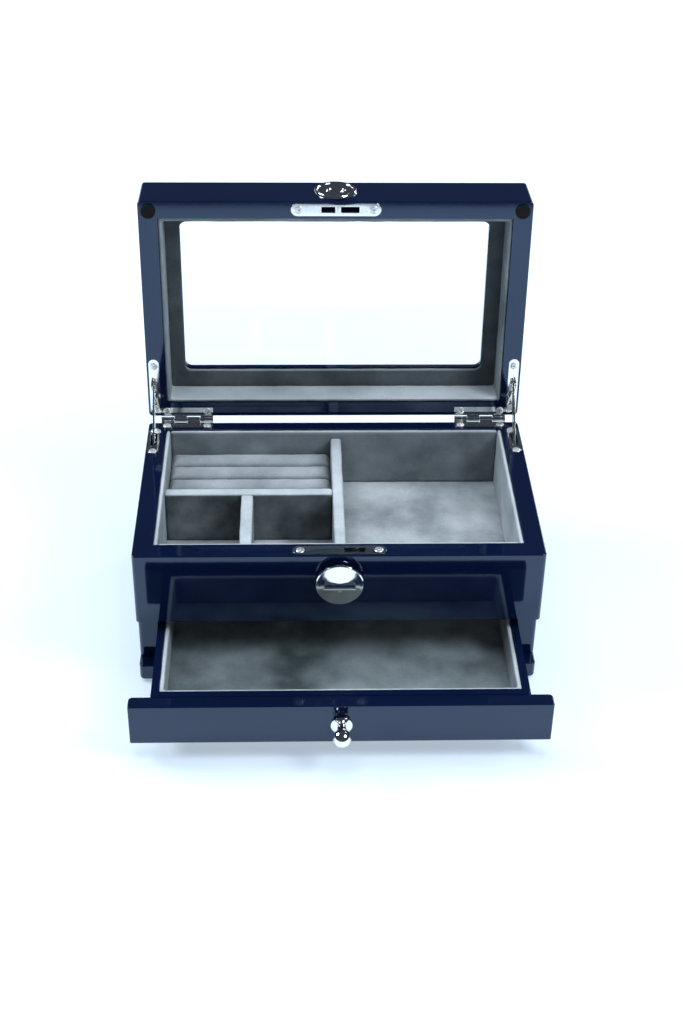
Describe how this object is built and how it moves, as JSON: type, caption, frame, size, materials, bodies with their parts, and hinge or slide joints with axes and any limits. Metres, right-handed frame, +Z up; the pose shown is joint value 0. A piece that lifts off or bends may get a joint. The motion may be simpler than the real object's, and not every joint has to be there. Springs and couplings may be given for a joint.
{
  "type": "jewelry gift box",
  "caption": "Lacquered jewelry box with a hinged glazed lid on slotted stays, a divided velvet tray with ring rolls, a turn-knob hook latch and a pull-out drawer.",
  "frame": {"origin": "centre of the case's footprint, on the surface it stands on", "axes": "+X to the right seen from the front, +Y to the back, +Z up"},
  "size_m": [0.28, 0.3218, 0.2868],
  "materials": {
    "navy_lacquer": "high-gloss navy lacquer on board",
    "chrome": "polished",
    "zinc_plated_steel": "zinc plated, dull",
    "grey_velvet": "grey velvet glued over card",
    "velvet_pad": "grey velvet over thin foam",
    "plywood": "bare, covered by the pads",
    "clear_glass": "clear, polished",
    "black_rubber": "satin",
    "black_felt": "felt"
  },
  "bodies": {
    "case": {"felt_base": "black_felt", "base_board": "navy_lacquer", "case_left_side": "navy_lacquer", "case_right_side": "navy_lacquer", "case_front_panel": "navy_lacquer", "case_back_panel": "navy_lacquer", "drawer_rail": "navy_lacquer", "drawer_glides": "black_felt", "tray_floor_board": "plywood", "tray_floor_pad": "velvet_pad", "tray_lining_left": "grey_velvet", "tray_lining_right": "grey_velvet", "tray_lining_front": "grey_velvet", "tray_lining_back": "grey_velvet", "main_divider": "grey_velvet", "cross_divider": "grey_velvet", "small_divider": "grey_velvet", "ring_rolls": "velvet_pad", "left_hinge_case_leaf": "chrome", "right_hinge_case_leaf": "chrome", "hinge_pins": "chrome", "left_stay_guide": "chrome", "right_stay_guide": "chrome", "latch_plate": "chrome", "case_screws": "chrome", "lock_case": "zinc_plated_steel", "hook_pivot_pin": "zinc_plated_steel", "knob_sleeve": "chrome"},
    "lid": {"lid_left_rail": "navy_lacquer", "lid_right_rail": "navy_lacquer", "lid_front_rail": "navy_lacquer", "lid_back_rail": "navy_lacquer", "lid_glass": "clear_glass", "glass_retainer": "grey_velvet", "lid_linings": "grey_velvet", "lid_bumpers": "black_rubber", "strike_plate": "chrome", "lid_badge": "chrome", "left_hinge_lid_leaf": "chrome", "right_hinge_lid_leaf": "chrome", "left_stay_bracket": "chrome", "right_stay_bracket": "chrome", "stay_rivets": "chrome", "lid_screws": "chrome"},
    "drawer": {"drawer_front": "navy_lacquer", "drawer_left_side": "navy_lacquer", "drawer_right_side": "navy_lacquer", "drawer_inner_front": "navy_lacquer", "drawer_back": "navy_lacquer", "drawer_bottom": "plywood", "drawer_pad": "velvet_pad", "drawer_linings": "grey_velvet", "drawer_knob": "chrome"},
    "left_arm": {"left_stay_arm": "chrome"},
    "right_arm": {"right_stay_arm": "chrome"},
    "knob": {"turn_knob": "chrome", "knob_cam": "zinc_plated_steel"},
    "hook": {"latch_hook": "zinc_plated_steel"}
  },
  "joints": [
    {"name": "lid_hinge", "type": "hinge", "parent": "case", "child": "lid", "pos_m": [0, 0.0881, 0.111], "axis": [1, 0, 0], "range_deg": [0, 93]},
    {"name": "left_arm_pivot", "type": "hinge", "parent": "lid", "child": "left_arm", "pos_m": [-0.1347, 0.08767, 0.14106], "axis": [1, 0, 0], "range_deg": [-48, 0]},
    {"name": "right_arm_pivot", "type": "hinge", "parent": "lid", "child": "right_arm", "pos_m": [0.1347, 0.08767, 0.14106], "axis": [1, 0, 0], "range_deg": [-48, 0]},
    {"name": "drawer_slide", "type": "slide", "parent": "case", "child": "drawer", "axis": [0, 1, 0], "range_m": [-0.03, 0.0795]},
    {"name": "knob_turn", "type": "hinge", "parent": "case", "child": "knob", "pos_m": [0, -0.0855, 0.09], "axis": [0, 1, 0], "range_deg": [0, 90]},
    {"name": "hook_swing", "type": "hinge", "parent": "case", "child": "hook", "pos_m": [-0.004, -0.0792, 0.098], "axis": [0, -1, 0], "range_deg": [0, 42]}
  ],
  "couplings": [
    {"joint": "left_arm_pivot", "follows": "lid_hinge", "ratio": -0.511},
    {"joint": "right_arm_pivot", "follows": "lid_hinge", "ratio": -0.511},
    {"joint": "hook_swing", "follows": "knob_turn", "ratio": 0.46666}
  ]
}
